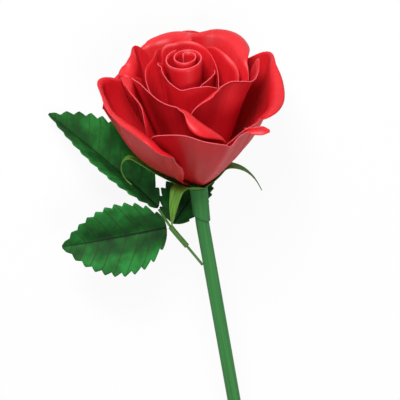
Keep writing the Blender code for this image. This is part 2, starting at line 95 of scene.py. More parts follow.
def throughPoints(points, share):
    # a Catmull-Rom curve, each point an equal share of the way along
    points = np.asarray(points, dtype=float)
    last = len(points) - 1
    place = min(max(share, 0.0), 1.0) * last
    index = min(int(place), last - 1)
    t = place - index
    before = points[index - 1] if index > 0 else 2 * points[0] - points[1]
    after = points[index + 2] if index + 2 <= last else 2 * points[last] - points[last - 1]
    start, end = points[index], points[index + 1]
    return 0.5 * (2 * start + (end - before) * t
                  + (2 * before - 5 * start + 4 * end - after) * t * t
                  + (3 * start - before - 3 * end + after) * t ** 3)


def cubic(points, t):
    s = 1.0 - t
    weights = (s ** 3, 3 * s * s * t, 3 * s * t * t, t ** 3)
    return sum(w * p for w, p in zip(weights, points))


def makeSheet(name, node, columns, rows, place, paper, materials, flat, closed=False):
    # a flat cut sheet brought to its form; flat(across, up) is its place on the uncurled paper
    surface = bmesh.new()
    bmesh.ops.create_grid(surface, x_segments=columns, y_segments=rows, size=0.5)
    layer = surface.verts.layers.float_vector.new("paperPlace")
    for vertex in surface.verts:
        across, up = vertex.co.x + 0.5, vertex.co.y + 0.5
        vertex[layer] = flat(across, up)
        vertex.co = place(across, up)
    if closed:
        bmesh.ops.remove_doubles(surface, verts=surface.verts, dist=weld)
    finishSheet(name, node, surface, paper, materials)


def finishSheet(name, node, surface, paper, materials):
    mesh = bpy.data.meshes.new(name)
    surface.to_mesh(mesh)
    surface.free()
    mesh.transform(bloom @ Matrix.Scale(millimetre, 4))
    mesh.shade_smooth()
    piece = bpy.data.objects.new(name, mesh)
    bpy.context.scene.collection.objects.link(piece)
    for material in materials:
        mesh.materials.append(material)
    thickness = piece.modifiers.new("paperThickness", "SOLIDIFY")
    thickness.thickness = paper * millimetre
    thickness.offset = 0.0
    thickness.use_even_offset = True
    thickness.use_quality_normals = True
    thickness.material_offset_rim = len(materials) - 1
    thickness.edge_crease_rim = 1.0
    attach(piece, "root")
    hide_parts(node)


def toLinear(code):
    values = [int(code[i:i + 2], 16) / 255 for i in (0, 2, 4)]
    return (*[v / 12.92 if v <= 0.04045 else ((v + 0.055) / 1.055) ** 2.4 for v in values], 1.0)


def addNode(tree, kind, settings=None, **links):
    # settings are node properties or socket values, links are input name, or i and the input's
    # number, to output socket
    node = tree.nodes.new(kind)
    for key, value in (settings or {}).items():
        if isinstance(key, int) or key in node.inputs:
            node.inputs[key].default_value = value
        else:
            setattr(node, key, value)
    for key, source in links.items():
        numbered = key[0] == "i" and key[1:].isdigit()
        tree.links.new(source, node.inputs[int(key[1:]) if numbered else key])
    return node


def paperMaterial(name, roughness, gloss=0.3):
    material = bpy.data.materials.new(name)
    material.use_nodes = True
    tree = material.node_tree
    shader = tree.nodes["Principled BSDF"]
    shader.inputs["Roughness"].default_value = roughness
    shader.inputs["Specular IOR Level"].default_value = gloss
    shader.inputs["IOR"].default_value = 1.5
    return material, tree, shader


def colourRamp(tree, source, stops):
    ramp = addNode(tree, "ShaderNodeValToRGB", Fac=source)
    elements = ramp.color_ramp.elements
    while len(elements) < len(stops):
        elements.new(0.5)
    for element, (place, code) in zip(elements, stops):
        element.position = place
        element.color = toLinear(code)
    return ramp.outputs["Color"]


def paperStreaks(tree, look):
    # the place on the uncurled paper, and noise drawn out along it
    place = addNode(tree, "ShaderNodeAttribute", {"attribute_name": "paperPlace"}).outputs["Vector"]
    drawn = addNode(tree, "ShaderNodeMapping", {
        "Scale": (1 / look["streakWidth"], 1 / look["streakLength"], 1)}, Vector=place)
    streaks = addNode(tree, "ShaderNodeTexNoise", {
        "Scale": 1.0, "Detail": 3.0, "Roughness": look["streakRoughness"]},
        Vector=drawn.outputs[0])
    return place, streaks.outputs["Fac"]


def addBump(tree, shader, height, look):
    bump = addNode(tree, "ShaderNodeBump", {"Strength": look["bumpStrength"],
                                            "Distance": look["bump"]}, Height=height)
    tree.links.new(bump.outputs[0], shader.inputs["Normal"])


# red craft card, dyed through and drawn over a blade to curl it: a soft satin, fine streaks from
# foot to rim, wide soft clouds of tone and a paler cut edge
petalLook = dict(tones=[(0.55, "BE101B"), (0.78, "C9151F"), (1.0, "D21E28")], roughness=0.46,
                 gloss=0.33, streakWidth=1.3, streakLength=40.0, streakRoughness=0.6,
                 streakShare=0.55, cloud=18.0, grain=0.35, grainShare=0.5, bump=0.00004,
                 bumpStrength=0.5, cutEdge="DC5660", edgeRoughness=0.7)


def makePetalPaper():
    look = petalLook
    material, tree, shader = paperMaterial("calenderedRedCraftCard", look["roughness"],
                                          look["gloss"])
    place, streaks = paperStreaks(tree, look)
    cloud = addNode(tree, "ShaderNodeTexNoise", {"Scale": 1 / look["cloud"], "Detail": 2.0},
                    Vector=place)
    both = addNode(tree, "ShaderNodeMath", {"operation": "MULTIPLY_ADD", 1: look["streakShare"]},
                   i0=streaks, i2=cloud.outputs["Fac"])
    colour = colourRamp(tree, both.outputs[0], look["tones"])
    tree.links.new(colour, shader.inputs["Base Color"])
    grain = addNode(tree, "ShaderNodeTexNoise", {"Scale": 1 / look["grain"], "Detail": 2.0},
                    Vector=place)
    height = addNode(tree, "ShaderNodeMath", {"operation": "MULTIPLY_ADD", 1: look["grainShare"]},
                     i0=grain.outputs["Fac"], i2=streaks)
    addBump(tree, shader, height.outputs[0], look)
    edge, _, edgeShader = paperMaterial("cutEdgeOfRedCard", look["edgeRoughness"])
    edgeShader.inputs["Base Color"].default_value = toLinear(look["cutEdge"])
    return [material, edge]


petalPaper = makePetalPaper()

# petals: the ring's foot, the forms of the cup along the rim, and rim stations of azimuth, radius,
# height and the width of the strip curled outward
petalSheet = dict(paper=0.4, columns=72, cupRows=22, curlRows=10, curlRadius=2.2, curlOpening=0.28,
                  curlLeast=0.8, footDrop=0.8, wave=0.35, waveLength=17.0, waveTurn=0.5,
                  waveSeed=7.3, alongStep=0.02, upStep=0.04, bellyShare=1.2, paperStep=50.0)
outerFoot = dict(level=0.9, spread=1.3, short=0.0)
leftFoot = dict(outerFoot, short=27.0)
middleFoot = dict(level=4.9, spread=1.3, short=0.0)
innerFoot = dict(level=8.9, spread=1.3, short=0.0)
wrapFoot = dict(level=12.4, spread=1.3, short=0.0)
budFoot = dict(level=14.2, spread=0.2, short=0.0)
fullCup = dict(outLow=0.52, upLow=0.16, outHigh=0.98, upHigh=0.50)
outerCup = dict(outLow=0.41, upLow=0.20, outHigh=0.80, upHigh=0.54)
wideCup = dict(outLow=0.52, upLow=0.155, outHigh=0.90, upHigh=0.515)
straightCup = dict(outLow=0.37, upLow=0.25, outHigh=0.74, upHigh=0.60)
middleCup = dict(outLow=0.42, upLow=0.12, outHigh=0.60, upHigh=0.72)
halfRoundCup = dict(outLow=0.50, upLow=0.11, outHigh=0.78, upHigh=0.66)
roundCup = dict(outLow=0.58, upLow=0.10, outHigh=0.92, upHigh=0.62)
innerCup = dict(outLow=0.46, upLow=0.10, outHigh=0.64, upHigh=0.66)
wrapCup = dict(outLow=0.60, upLow=0.12, outHigh=0.74, upHigh=0.66)
slimCup = dict(outLow=0.30, upLow=0.14, outHigh=0.60, upHigh=0.68)
budCup = dict(outLow=0.80, upLow=0.12, outHigh=1.10, upHigh=0.62)
petals = dict(
    outerPetalLeft=("outer_petal_left", leftFoot, [outerCup, fullCup, wideCup, straightCup,
                                                straightCup], [
        (146, 39, 49, 2), (155, 42.5, 53, 3), (161, 45, 54, 4), (169, 43, 52, 4),
        (177, 41.5, 50.5, 5), (192, 40, 49, 6), (205, 37.5, 47.5, 8), (221, 36.5, 46, 8),
        (235.5, 37.8, 43.6, 7), (243.5, 37.2, 38.6, 5), (249, 33.2, 32.6, 3),
        (252.4, 28.6, 25.6, 1.5), (252.5, 22.5, 18, 0.8)]),
    outerPetalFront=("outer_petal_front", outerFoot, [straightCup, straightCup], [
        (228, 30.5, 37, 0), (236, 32.5, 43, 1), (251, 34, 45.8, 1.5), (265, 36.5, 46.6, 1.5),
        (278, 41, 44.6, 1.5), (289, 41.6, 41.5, 2), (295, 40.5, 38.7, 2), (304, 38.2, 40.6, 1.5),
        (313, 37.2, 40, 1), (318, 36, 38, 0.8)]),
    outerPetalRight=("outer_petal_right", outerFoot, [straightCup, outerCup, outerCup], [
        (308, 23, 28, 0), (315, 27.5, 33, 0.8), (321, 31.5, 37, 2), (327, 34.8, 39, 3),
        (332, 36, 39.6, 3), (338, 36.6, 39.8, 6), (349, 40.5, 41.5, 8.5), (3, 42.6, 44, 9.5),
        (20, 46.2, 49, 6), (33, 50, 52.8, 2), (46, 45, 48, 1), (56, 43, 43, 0)]),
    outerPetalBack=("outer_petal_back", outerFoot, [outerCup, outerCup], [
        (38, 37, 42, 0), (52, 40.5, 48, 1), (66, 43.5, 55.5, 3), (78, 45, 58.5, 4),
        (88, 45.5, 60, 3), (98, 45, 57.5, 2), (110, 44, 50, 1), (121, 43.5, 43, 0)]),
    outerPetalFarLeft=("outer_petal_far_left", outerFoot, [outerCup, outerCup], [
        (98, 33, 42, 0), (110, 37.5, 46, 1), (122, 43, 49.5, 3), (136, 44, 49, 3),
        (150, 44.5, 45.5, 2), (161, 44.5, 39, 0)]),
    middlePetalLeft=("middle_petal_left", middleFoot, [halfRoundCup, roundCup, middleCup], [
        (122, 26, 56, 0), (134, 33.5, 66, 1), (149, 30.8, 63, 9), (163, 30.2, 60, 11),
        (175, 29.6, 58, 7), (198, 27.8, 56, 3), (212, 27.4, 53, 2), (220, 28.6, 46, 2),
        (223, 29, 38, 1)]),
    middlePetalFront=("middle_petal_front", middleFoot, [halfRoundCup, middleCup], [
        (160, 21, 50, 0), (169, 22.4, 57.5, 1), (180, 26, 61.2, 1), (194, 22.6, 60, 1.5),
        (218, 22.4, 59, 2), (243, 25.6, 57.5, 2.5), (256, 26, 55.5, 4), (268, 27.4, 53.2, 8),
        (281, 31.5, 48, 12), (293, 33, 41.5, 6), (298, 32.6, 37, 2)]),
    middlePetalRight=("middle_petal_right", middleFoot, [middleCup, middleCup], [
        (264, 19, 44, 0), (276, 19.6, 51, 2), (290, 19.6, 53.5, 4), (308, 19.6, 55.3, 5),
        (322, 21.2, 57, 4), (334, 23.8, 58.8, 2), (342, 28, 57.5, 1.5), (352, 31.8, 55, 1),
        (5, 34.8, 55.4, 1.5), (15, 36.8, 56.6, 2), (22, 38.4, 56.6, 2), (28, 36.5, 50, 0)]),
    middlePetalBackRight=("middle_petal_back_right", middleFoot, [middleCup, middleCup], [
        (4, 29.5, 52, 0), (18, 31, 59, 3), (33, 33, 62, 9), (47, 35, 65, 12),
        (58, 34.5, 66, 9), (70, 33, 65.5, 5), (81, 34.5, 63.5, 3), (89, 36.5, 61.5, 1.5),
        (94, 36.5, 57, 0)]),
    middlePetalBackLeft=("middle_petal_back_left", middleFoot, [middleCup, halfRoundCup], [
        (76, 21.5, 58, 0), (85, 24.5, 65.5, 4), (92, 29, 66, 9), (101, 33, 65.5, 11),
        (112, 34.5, 64.5, 8), (124, 35, 63, 3), (134, 35.5, 57, 1), (140, 34.5, 50, 0)]),
    innerPetalLeft=("inner_petal_left", innerFoot, [innerCup, innerCup], [
        (110, 19, 63, 0), (122, 22, 65.5, 1), (137, 20, 63.8, 1.5), (154, 20.4, 61.8, 1.5),
        (166, 20, 60, 1.5), (179, 19.4, 58, 1.5), (193, 18.6, 55, 1), (206, 17.4, 48, 0)]),
    innerPetalRight=("inner_petal_right", innerFoot, [innerCup, innerCup], [
        (346, 21.5, 46, 0), (354, 24, 52.5, 1.5), (4, 25, 57, 2.5), (14, 24.4, 60, 3),
        (24, 22.8, 62.6, 3), (35, 21.4, 64.6, 2), (47, 20.6, 65.6, 1.5), (62, 19.8, 63, 0)]),
    budPetalBack=("bud_petal_back", wrapFoot, [wrapCup, slimCup], [
        (-24, 16, 54, 0.5), (-8, 15.4, 57.5, 1), (8, 15.2, 60, 1), (24, 15.2, 63, 1),
        (42, 15.4, 66, 1.5), (60, 16, 68, 2), (83, 16.4, 69.6, 2.5), (104, 16, 69.6, 2.5),
        (122, 17, 68.5, 2), (134, 15.2, 61, 0)]),
    budPetalFront=("bud_petal_front", wrapFoot, [budCup, innerCup], [
        (143, 11.4, 58, 0), (153, 12, 63, 1), (163, 13.8, 65.6, 3), (174, 11.8, 64.5, 3),
        (197, 10.6, 61.8, 1.5), (228, 10.3, 58.8, 1), (251, 10.3, 57, 1), (283, 10.6, 57.8, 1),
        (311, 13, 57.6, 1), (327, 15.8, 55.6, 1), (338, 18.8, 52.5, 1)]),
    budPetalRight=("bud_petal_right", budFoot, [wrapCup, slimCup], [
        (290, 9.2, 53, 0), (311, 10.6, 57.5, 0.5), (325, 11.6, 58.8, 1), (338, 13, 59.8, 1),
        (349, 13.9, 60.5, 1), (358, 13.7, 60.8, 0.6), (5, 12.6, 60, 0)]),
)


def unwound(rows):
    # the same rows, with azimuths that rise from the first to the last
    rising = []
    for azimuth, *rest in rows:
        while rising and azimuth < rising[-1][0]:
            azimuth += 360
        rising.append((azimuth, *rest))
    return rising


def petalPlace(ringFoot, cups, stations, seed):
    sizes = petalSheet
    rim = unwound(stations)
    cupShare = sizes["cupRows"] / (sizes["cupRows"] + sizes["curlRows"])
    footRadius = stem["radius"] + gap + sizes["paper"] / 2

    def curlForm(across):
        curl = max(float(throughPoints(rim, across)[3]), sizes["curlLeast"])
        radius = sizes["curlRadius"] + sizes["curlOpening"] * curl
        return radius, curl / radius

    def cupPoint(across, t):
        azimuth, radius, height, curl = throughPoints(rim, across)
        cup = {key: throughPoints([form[key] for form in cups], across) for key in cups[0]}
        foot = np.array((footRadius + ringFoot["spread"] * across,
                         ringFoot["level"] + sizes["footDrop"] * (1 - across)))
        low = np.array((cup["outLow"], cup["upLow"]))
        high = np.array((cup["outHigh"], cup["upHigh"]))
        reach = np.array((radius, height)) - foot
        rise = math.atan2(*(reach * (1 - high))[::-1])
        curlRadius, bend = curlForm(across)
        turned = min(bend, rise)
        reach -= curlRadius * np.array((math.sin(rise) - math.sin(rise - turned),
                                        math.cos(rise - turned) - math.cos(rise)))
        out, level = foot + cubic((0 * reach, reach * low, reach * high, reach), t)
        footAzimuth = blend(rim[0][0], rim[-1][0] - ringFoot["short"], across)
        turn = blend(footAzimuth, azimuth, smoothStep(t))
        # the hand-curled card is never quite even
        spot = Vector((turn * sizes["waveTurn"] / sizes["waveLength"],
                       level / sizes["waveLength"], seed))
        out += sizes["wave"] * t * t * noise.noise(spot)
        return polar(turn, out, level)

    def place(across, up):
        if up <= cupShare:
            return cupPoint(across, up / cupShare)
        edge = cupPoint(across, 1.0)
        step = sizes["alongStep"]
        along = cupPoint(min(across + step, 1.0), 1.0) - cupPoint(max(across - step, 0.0), 1.0)
        upward = edge - cupPoint(across, 1.0 - sizes["upStep"])
        outward = along.cross(upward).normalized()
        away = outward.cross(along).normalized()
        radius, bend = curlForm(across)
        angle = bend * (up - cupShare) / (1 - cupShare)
        return edge + radius * (math.sin(angle) * away + (1 - math.cos(angle)) * outward)

    return place


def makePetals():
    sizes = petalSheet
    for index, (name, (node, foot, cups, stations)) in enumerate(petals.items()):
        rim = unwound(stations)
        width = math.radians(rim[-1][0] - rim[0][0]) * sum(s[1] for s in rim) / len(rim)
        length = sizes["bellyShare"] * sum(s[2] for s in rim) / len(rim) - foot["level"]
        makeSheet(name, node, sizes["columns"], sizes["cupRows"] + sizes["curlRows"],
                  petalPlace(foot, cups, stations, index * sizes["waveSeed"]), sizes["paper"],
                  petalPaper, lambda a, u: (a * width, u * length, index * sizes["paperStep"]))


makePetals()

# the right petal's first corner is rolled out into a small tongue, over the front petal's end:
# its centre line, from the rim outward, and its half widths
petalTongue = dict(line=[(24.6, -19.9, 37.0), (27.4, -21.4, 37.3), (30.6, -22.2, 37.4),
                         (33.6, -22.4, 37.4), (36.6, -22.0, 36.6)],
                   halfWidths=[1.3, 1.5, 2.0, 2.0, 0.5], widthWay=(0.0, 0.5, 0.866),
                   outward=(0.0, -0.866, 0.5), dish=0.5, columns=24, rows=8,
                   paperWidth=4, paperStart=50, paperLength=11, paperLayer=100.0)


def makePetalTongue():
    sizes = petalTongue
    way = Vector(sizes["widthWay"])
    outward = Vector(sizes["outward"])

    def place(across, up):
        s = 2 * up - 1
        half = float(throughPoints([(width,) for width in sizes["halfWidths"]], across)[0])
        centre = Vector(throughPoints(sizes["line"], across))
        return centre + s * half * way - sizes["dish"] * (1 - s * s) * outward

    def flat(across, up):
        along = sizes["paperStart"] + across * sizes["paperLength"]
        return up * sizes["paperWidth"], along, sizes["paperLayer"]

    makeSheet("outerPetalRightCorner", "outer_petal_right", sizes["columns"], sizes["rows"], place,
              petalSheet["paper"], petalPaper, flat)


makePetalTongue()
print("petals made")

# the bud: one strip rolled a little over twice round itself
budRoll = dict(paper=0.5, start=112.0, turns=2.1, top=68.0, topSlope=0.13, radius=9.4, pitch=3.0,
               tightening=1.1, driftRight=0.8, driftBack=1.4, footShare=0.36, widening=0.8,
               columns=220, rows=24, stripLength=80, stripWidth=52, paperLayer=900.0)


def makeBudRoll():
    sizes = budRoll

    def place(across, up):
        turned = sizes["turns"] * across
        width = blend(sizes["footShare"], 1.0, up ** sizes["widening"])
        radius = (sizes["radius"] - sizes["pitch"] * turned ** sizes["tightening"]) * width
        point = polar(sizes["start"] + 360 * turned, radius, 0.0)
        drift = turned * (width - sizes["footShare"]) / (1 - sizes["footShare"])
        point += drift * Vector((sizes["driftRight"], sizes["driftBack"], 0.0))
        point.z = blend(stem["above"] + gap, sizes["top"] + sizes["topSlope"] * point.y, up)
        return point

    def flat(across, up):
        return across * sizes["stripLength"], up * sizes["stripWidth"], sizes["paperLayer"]

    makeSheet("budRoll", "bud_roll", sizes["columns"], sizes["rows"], place, sizes["paper"],
              petalPaper, flat)


makeBudRoll()
print("bud made")

# stem: one strip of green paper rolled to a tube. Rolled paper shows fine streaks along the tube
# and, where the grain is pressed flat, a faint sheen
stemLook = dict(tones=[(0.3, "34733A"), (0.52, "3D8043"), (0.8, "4F9150")], roughness=0.55,
                gloss=0.15, streakWidth=0.7, streakLength=60.0, streakRoughness=0.5, bump=0.00008,
                bumpStrength=0.5)


def makeStemPaper():
    look = stemLook
    material, tree, shader = paperMaterial("rolledGreenPaper", look["roughness"], look["gloss"])
    _, streaks = paperStreaks(tree, look)
    tree.links.new(colourRamp(tree, streaks, look["tones"]), shader.inputs["Base Color"])
    addBump(tree, shader, streaks, look)
    return material


stemPaper = makeStemPaper()


def stemPoint(distance):
    # a point of the stem's centre line, at this distance below the bloom's base
    lean = math.radians(stem["lean"])
    if distance <= stem["bendStart"]:
        return Vector((0.0, 0.0, -distance)), 0.0
    bent = min(distance - stem["bendStart"], stem["bendLength"])
    angle = lean * bent / stem["bendLength"]
    arc = stem["bendLength"] / lean
    point = Vector((arc * (1 - math.cos(angle)), 0.0, -stem["bendStart"] - arc * math.sin(angle)))
    straight = distance - stem["bendStart"] - bent
    return point + straight * Vector((math.sin(angle), 0.0, -math.cos(angle))), angle


def makeStem():
    middle = stem["radius"] - stem["wall"] / 2
    length = stem["below"] + stem["above"]

    def place(across, up):
        distance = blend(stem["below"], -stem["above"], up)
        centre, angle = stemPoint(distance)
        turn = math.tau * across
        side = Vector((math.cos(angle), 0.0, math.sin(angle)))
        return centre + middle * (math.cos(turn) * side + math.sin(turn) * Vector((0, 1, 0)))

    makeSheet("stemTube", "stem_tube", stem["sides"], stem["rows"], place, stem["wall"],
              [stemPaper], lambda a, u: (a * stem["stripWidth"], u * length, 0.0), closed=True)


makeStem()

# the neck is a cone of the stem's paper, and the calyx over it one star-cut sheet, whose points
# have lines of radius and height. Two points are hidden behind the bloom
neck = dict(paper=0.5, length=17.5, slant=2.2, topRadius=4.3, flare=1.5, starLevel=-0.9,
            columns=64, rows=20, paperWidth=26, paperLength=15, paperLayer=300.0)
calyxSheet = dict(paper=0.45, ringRadius=4.7, taper=1.3, turnShare=0.35, flatShare=0.3,
                  paperLength=40, tipHalfWidth=0.25, columns=12, rows=40, dish=0.9)
hiddenSepal = [(11, 2), (16, 5.4), (21, 9.6), (26, 13), (30, 14.6)]
sepals = [
    (174, 3.4, [(8, 1.4), (12, 2.8), (20, 7.4), (27, 13), (32, 16.2), (35.6, 13.6), (36.4, 9.3),
                (35, 4.6), (32.3, 1)]),
    (236, 5.6, [(8, 1.2), (12.5, 4.4), (18.3, 5.4), (21.6, 2.1), (23.8, -2.4), (25.4, -6.4),
                (26.5, -10)]),
    (8, 4.8, [(7.5, 1.4), (11, 4), (14.6, 6.2), (18.9, 5.4), (23.6, 2.5), (27.2, -1.9), (29.3, -6),
              (30.9, -10.3)]),
    (60, 4.6, hiddenSepal),
    (115, 4.6, hiddenSepal),
]


def makeNeck():
    top = neck["starLevel"] - calyxSheet["paper"] / 2 - gap
    footRadius = stem["radius"] + gap + neck["paper"] / 2

    def place(across, up):
        radius = blend(footRadius, neck["topRadius"], up ** neck["flare"])
        length = neck["length"] + neck["slant"] * math.cos(math.tau * across)
        return polar(360 * across, radius, top - length * (1 - up))

    def flat(across, up):
        return across * neck["paperWidth"], up * neck["paperLength"], neck["paperLayer"]

    makeSheet("neckCone", "neck_cone", neck["columns"], neck["rows"], place, neck["paper"],
              [stemPaper], flat, closed=True)


makeNeck()

# yellow-green paper, tinted by hand with a nearly dry brush: brownish and light strokes that run
# to the points
calyxLook = dict(tones=[(0.25, "4A5A1C"), (0.5, "4F7F22"), (0.8, "74A246")], roughness=0.6,
                 streakWidth=0.8, streakLength=12.0, streakRoughness=0.5)


def makeCalyxPaper():
    look = calyxLook
    material, tree, shader = paperMaterial("yellowGreenPaper", look["roughness"])
    _, streaks = paperStreaks(tree, look)
    tree.links.new(colourRamp(tree, streaks, look["tones"]), shader.inputs["Base Color"])
    return material


calyxPaper = makeCalyxPaper()


def makeCalyx():
    # a ring round the stem and five points that lean over to their azimuths
    sizes = calyxSheet
    count = sizes["columns"]
    columns = len(sepals) * count
    rows = unwound(sepals)
    pitch = 360 / len(rows)
    first = sum(row[0] for row in rows) / len(rows) - pitch * (len(rows) - 1) / 2
    surface = bmesh.new()
    layer = surface.verts.layers.float_vector.new("paperPlace")
    rings = []
    for radius in (stem["radius"] + gap, sizes["ringRadius"]):
        rings.append([surface.verts.new(polar(first - pitch / 2 + 360 * i / columns, radius,
                                              neck["starLevel"])) for i in range(columns)])
    hole, edge = rings
    for i in range(columns):
        j = (i + 1) % columns
        surface.faces.new((hole[i], edge[i], edge[j], hole[j]))
    for index, (azimuth, halfWidth, line) in enumerate(rows):
        root = [edge[(index * count + i) % columns] for i in range(count + 1)]
        addSepal(surface, layer, root, first + pitch * index, azimuth, halfWidth, line)
    finishSheet("calyxStar", "calyx", surface, sizes["paper"], [calyxPaper])


def addSepal(surface, layer, root, rootAzimuth, azimuth, halfWidth, line):
    sizes = calyxSheet
    line = [(sizes["ringRadius"], neck["starLevel"])] + line
    halfPitch = 180 / len(sepals)
    below = root
    count = sizes["columns"]
    for row in range(1, sizes["rows"] + 1):
        share = row / sizes["rows"]
        radius, height = throughPoints(line, share)
        centreAzimuth = blend(rootAzimuth, azimuth, smoothStep(share / sizes["turnShare"]))
        flat = smoothStep(share / sizes["flatShare"])
        width = max(halfWidth * (1 - share ** sizes["taper"]), sizes["tipHalfWidth"])
        middle = polar(centreAzimuth, radius, height)
        side = polar(centreAzimuth + 90, 1, 0)
        above = []
        for i in range(count + 1):
            s = 2 * i / count - 1
            roundPlace = polar(centreAzimuth + s * halfPitch, radius, height)
            dish = Vector((0, 0, sizes["dish"] * s * s * width / halfWidth))
            vertex = surface.verts.new(roundPlace.lerp(middle + s * width * side + dish, flat))
            vertex[layer] = (s * width, share * sizes["paperLength"], azimuth)
            above.append(vertex)
        for i in range(count):
            surface.faces.new((below[i], above[i], above[i + 1], below[i + 1]))
        below = above


makeCalyx()
print("stem, neck and calyx made")

# the leaf: a wire stalk, wrapped in its middle, and three toothed leaflets, folded along the
# midrib. A leaflet turns about its midrib, broad moves its widest place and fullness rounds it
leafWire = dict(radius=0.65, wallShare=0.9, sleeveWall=0.35, sides=24, rows=40, step=0.01,
                paperWidth=6, paperLength=30,
                points=[(-2.1, 1.7, -47.5), (-8.7, 6.0, -38.5), (-15.8, 12.0, -29.8),
                        (-20.6, 16.2, -21.6)], colour="4F7F36")
leaflet = dict(paper=0.4, columns=10, rowsPerTooth=8, footHalfWidth=0.9, toothDepth=2.6,
               toothPeak=0.82, toothShare=0.5, sweep=0.1, sweepPower=1.4, sweepShare=0.6,
               sag=0.12, facing=(0.0, -0.866, 0.5), paperLayer=10)
leaflets = dict(
    leafletEnd=("leaflet_end", dict(foot=(-21.0, 16.6, -20.8), tip=(-66.3, 25.7, 34.5),
                halfWidth=20.9, teeth=12, turn=47.0, fold=33.0, droop=4.0, broad=0.84,
                fullness=0.78)),
    leafletLeft=("leaflet_left", dict(foot=(-17.9, 11.4, -29.6), tip=(-68.7, -2.0, -27.5),
                 halfWidth=21.4, teeth=11, turn=-15.0, fold=28.0, droop=4.0, broad=0.76,
                 fullness=0.72)),
    leafletRight=("leaflet_right", dict(foot=(-14.2, 13.0, -29.0), tip=(8.0, 32.6, -11.0),
                  halfWidth=17.2, teeth=9, turn=-38.0, fold=28.0, droop=0.2, broad=0.64,
                  fullness=0.8)),
)
# thin paper glued round florist's wire: an even mid green with a dull sheen
wirePaper, _, wireShader = paperMaterial("wrappedWirePaper", stemLook["roughness"])
wireShader.inputs["Base Color"].default_value = toLinear(leafWire["colour"])


def makeWire(name, node, first, last, radius, wall):
    points = leafWire["points"]

    def place(across, up):
        share, step = blend(first, last, up), leafWire["step"]
        centre = Vector(throughPoints(points, share))
        along = Vector(throughPoints(points, share + step) - throughPoints(points, share - step))
        side = along.cross(Vector((0, 1, 0))).normalized()
        other = side.cross(along).normalized()
        turn = math.tau * across
        return centre + (radius - wall / 2) * (math.cos(turn) * side + math.sin(turn) * other)

    def flat(across, up):
        return across * leafWire["paperWidth"], up * leafWire["paperLength"], 0.0

    makeSheet(name, node, leafWire["sides"], leafWire["rows"], place, wall, [wirePaper], flat,
              closed=True)


makeWire("leafWire", "leaf_wire", 0.0, 1.0, leafWire["radius"],
         leafWire["radius"] * leafWire["wallShare"])
makeWire("leafWireSleeve", "leaf_wire_sleeve", 1 / 3, 2 / 3,
         leafWire["radius"] + gap + leafWire["sleeveWall"], leafWire["sleeveWall"])

# dark green paper in soft clouds of tone, with a painted highlight that grows lighter to the rim,
# and veins drawn by a brown-green pencil and a nearly black midrib: a dull sheet with fine soft
# lines
leafLook = dict(tones=[(0.35, "123A18"), (0.55, "19531F"), (0.85, "267A33")], vein="2A3018",
                midrib="101C10", roughness=0.6, gloss=0.12, cloud=9.0, veinSpacing=6.8,
                veinSlope=0.42, veinHalfWidth=0.32, veinSoftness=1.6, veinStrength=0.7,
                midribHalfWidth=0.7, midribSoftness=1.8, midribCore=0.2, midribLength=75.0,
                rimHighlightFrom=4.0, rimHighlightTo=20.0, rimHighlightShare=0.3)


def makeLeafPaper():
    look = leafLook
    material, tree, shader = paperMaterial("darkGreenPaperWithDrawnVeins", look["roughness"],
                                           look["gloss"])
    place = addNode(tree, "ShaderNodeAttribute", {"attribute_name": "paperPlace"}).outputs["Vector"]
    split = addNode(tree, "ShaderNodeSeparateXYZ", Vector=place)
    side = addNode(tree, "ShaderNodeMath", {"operation": "ABSOLUTE"}, i0=split.outputs["X"])
    swept = addNode(tree, "ShaderNodeMath", {"operation": "MULTIPLY_ADD", 1: -look["veinSlope"]},
                    i0=side.outputs[0], i2=split.outputs["Y"])
    phase = addNode(tree, "ShaderNodeMath", {"operation": "DIVIDE", 1: look["veinSpacing"]},
                    i0=swept.outputs[0])
    near = addNode(tree, "ShaderNodeMath", {"operation": "PINGPONG", 1: 0.5}, i0=phase.outputs[0])
    vein = addNode(tree, "ShaderNodeMapRange", {
        "From Min": 0.0,
        "From Max": look["veinHalfWidth"] / look["veinSpacing"] * look["veinSoftness"],
        "To Min": look["veinStrength"], "To Max": 0.0, "interpolation_type": "SMOOTHSTEP"},
        Value=near.outputs[0])
    # the midrib tapers from the foot to the tip
    taper = addNode(tree, "ShaderNodeMath", {"operation": "MULTIPLY_ADD",
                    1: look["midribHalfWidth"] / look["midribLength"]},
                    i0=split.outputs["Y"], i2=side.outputs[0])
    midrib = addNode(tree, "ShaderNodeMapRange", {
        "From Min": look["midribCore"],
        "From Max": look["midribHalfWidth"] * look["midribSoftness"],
        "To Min": 1.0, "To Max": 0.0, "interpolation_type": "SMOOTHSTEP"},
        Value=taper.outputs[0])
    cloud = addNode(tree, "ShaderNodeTexNoise", {"Scale": 1 / look["cloud"], "Detail": 4.0},
                    Vector=place)
    # painted highlight: the tone is lightened with the distance from the midrib, as where the rim
    # catches the light
    edge = addNode(tree, "ShaderNodeMapRange", {
        "From Min": look["rimHighlightFrom"], "From Max": look["rimHighlightTo"], "To Min": 0.0,
        "To Max": look["rimHighlightShare"]}, Value=side.outputs[0])
    tone = addNode(tree, "ShaderNodeMath", {"operation": "ADD"},
                   i0=cloud.outputs["Fac"], i1=edge.outputs[0])
    colour = colourRamp(tree, tone.outputs[0], look["tones"])
    for line, code in ((vein, look["vein"]), (midrib, look["midrib"])):
        drawn = addNode(tree, "ShaderNodeMix", {"data_type": "RGBA"})
        tree.links.new(line.outputs[0], drawn.inputs["Factor"])
        tree.links.new(colour, drawn.inputs[6])
        drawn.inputs[7].default_value = toLinear(code)
        colour = drawn.outputs[2]
    tree.links.new(colour, shader.inputs["Base Color"])
    return material


leafPaper = makeLeafPaper()


def leafletOutline(share, broad, fullness):
    return math.sin(math.pi * share ** broad) ** fullness


